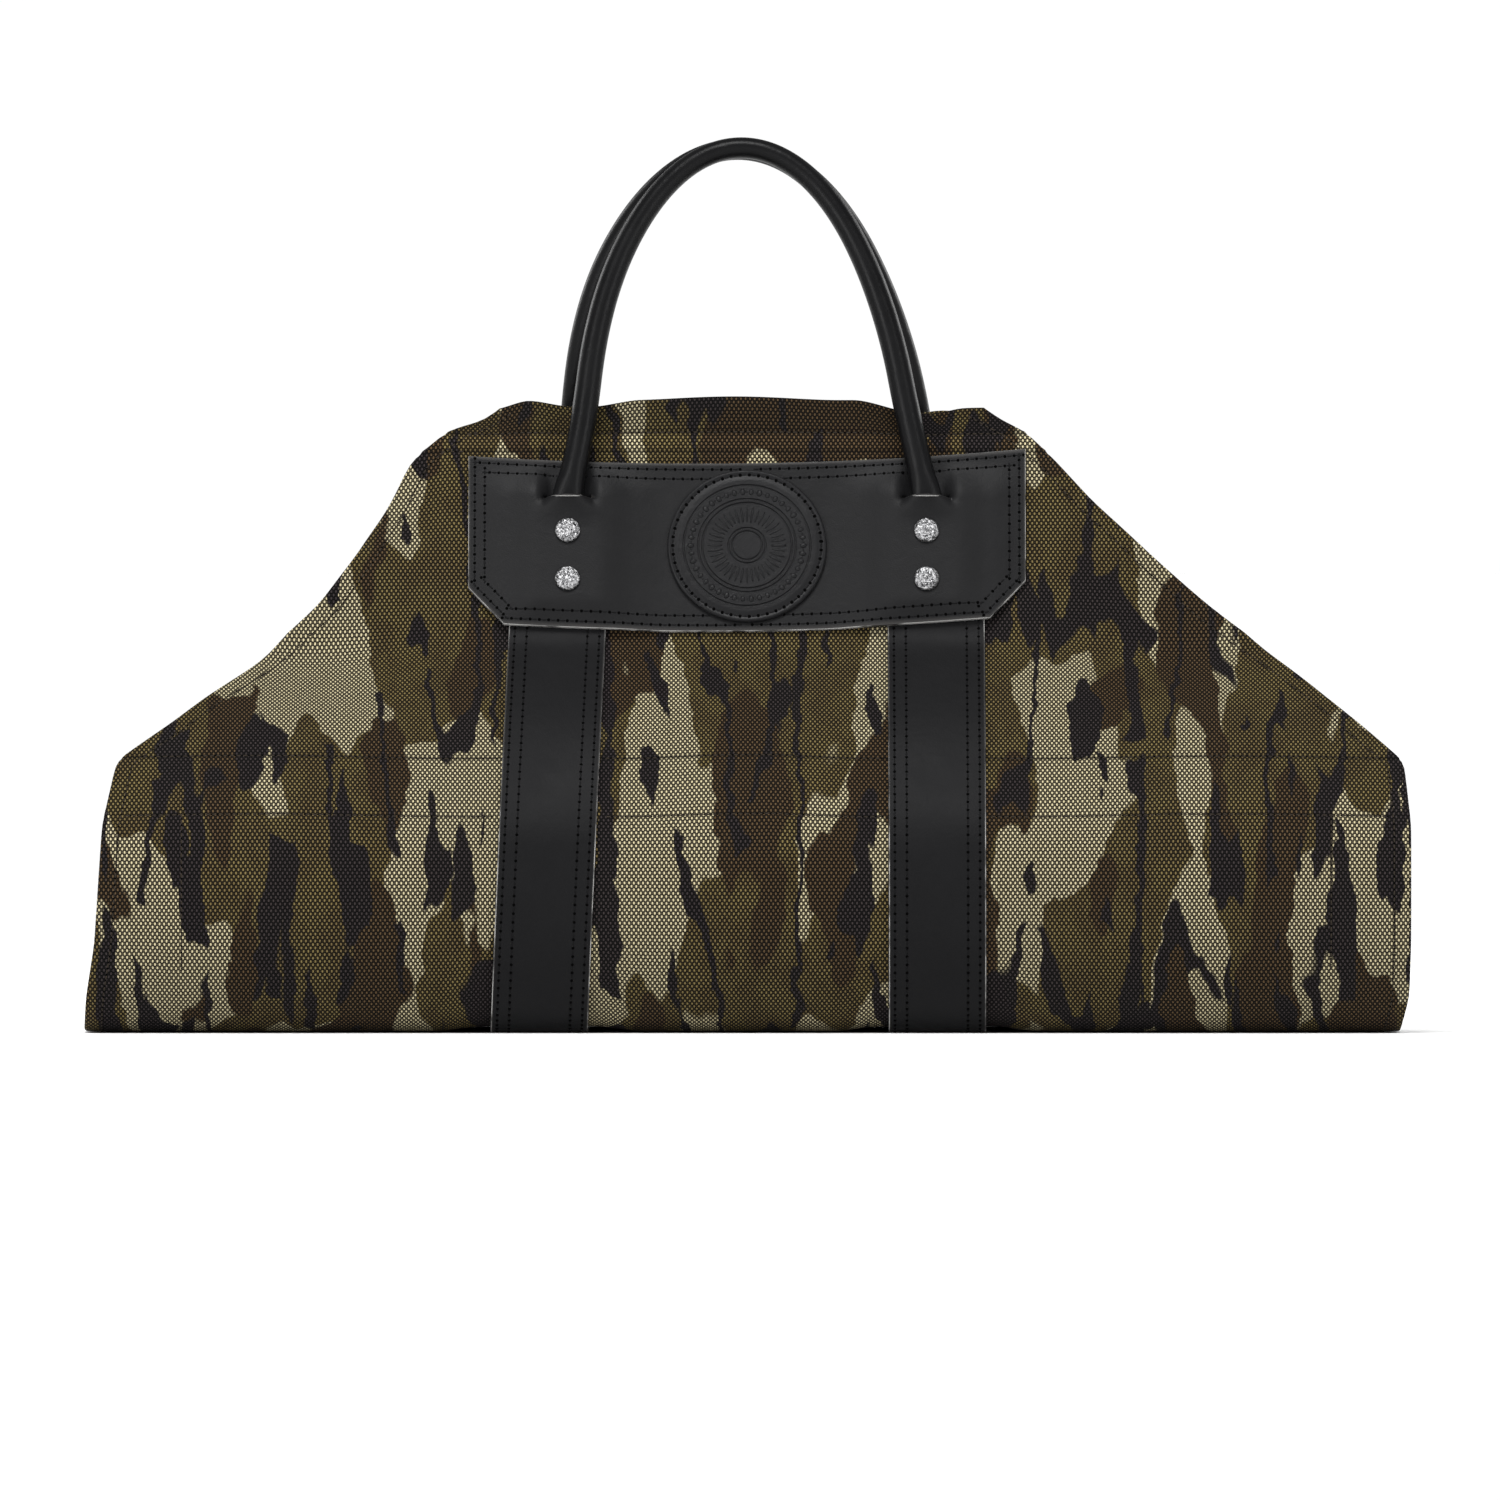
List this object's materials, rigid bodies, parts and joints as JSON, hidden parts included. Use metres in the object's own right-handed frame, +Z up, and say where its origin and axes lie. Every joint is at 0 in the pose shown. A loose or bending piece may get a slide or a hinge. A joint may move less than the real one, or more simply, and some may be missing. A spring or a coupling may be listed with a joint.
{
  "type": "canvas log carrier",
  "caption": "Open-ended canvas log carrier standing in its loaded form, with wide leather straps, riveted leather panels and two rolled leather carrying handles.",
  "frame": {"origin": "on the floor under the middle of the carrier, at the bottom centre of its box", "axes": "+X along the carrier's width, to the right seen from the front; +Y from front to back, so the front panel faces -Y; +Z up"},
  "size_m": [0.6628, 0.288, 0.448],
  "materials": {
    "canvas": "matte heavy plain-weave canvas with a four-colour camouflage print",
    "strap_leather": "semi-matte black strap leather with stitched edges",
    "panel_leather": "semi-matte black leather with double stitched edges",
    "handle_leather": "satin black rolled leather",
    "patch_leather": "satin black leather with plain embossed rings",
    "rivet_metal": "nickel-plated, lightly hammered"
  },
  "bodies": {
    "root": {"canvas_sling": "canvas", "strap_left": "strap_leather", "strap_right": "strap_leather", "front_panel": "panel_leather", "back_panel": "panel_leather", "front_handle": "handle_leather", "back_handle": "handle_leather", "round_patch": "patch_leather", "front_rivet_1": "rivet_metal", "front_rivet_2": "rivet_metal", "front_rivet_3": "rivet_metal", "front_rivet_4": "rivet_metal", "back_rivet_1": "rivet_metal", "back_rivet_2": "rivet_metal", "back_rivet_3": "rivet_metal", "back_rivet_4": "rivet_metal"}
  },
  "joints": []
}
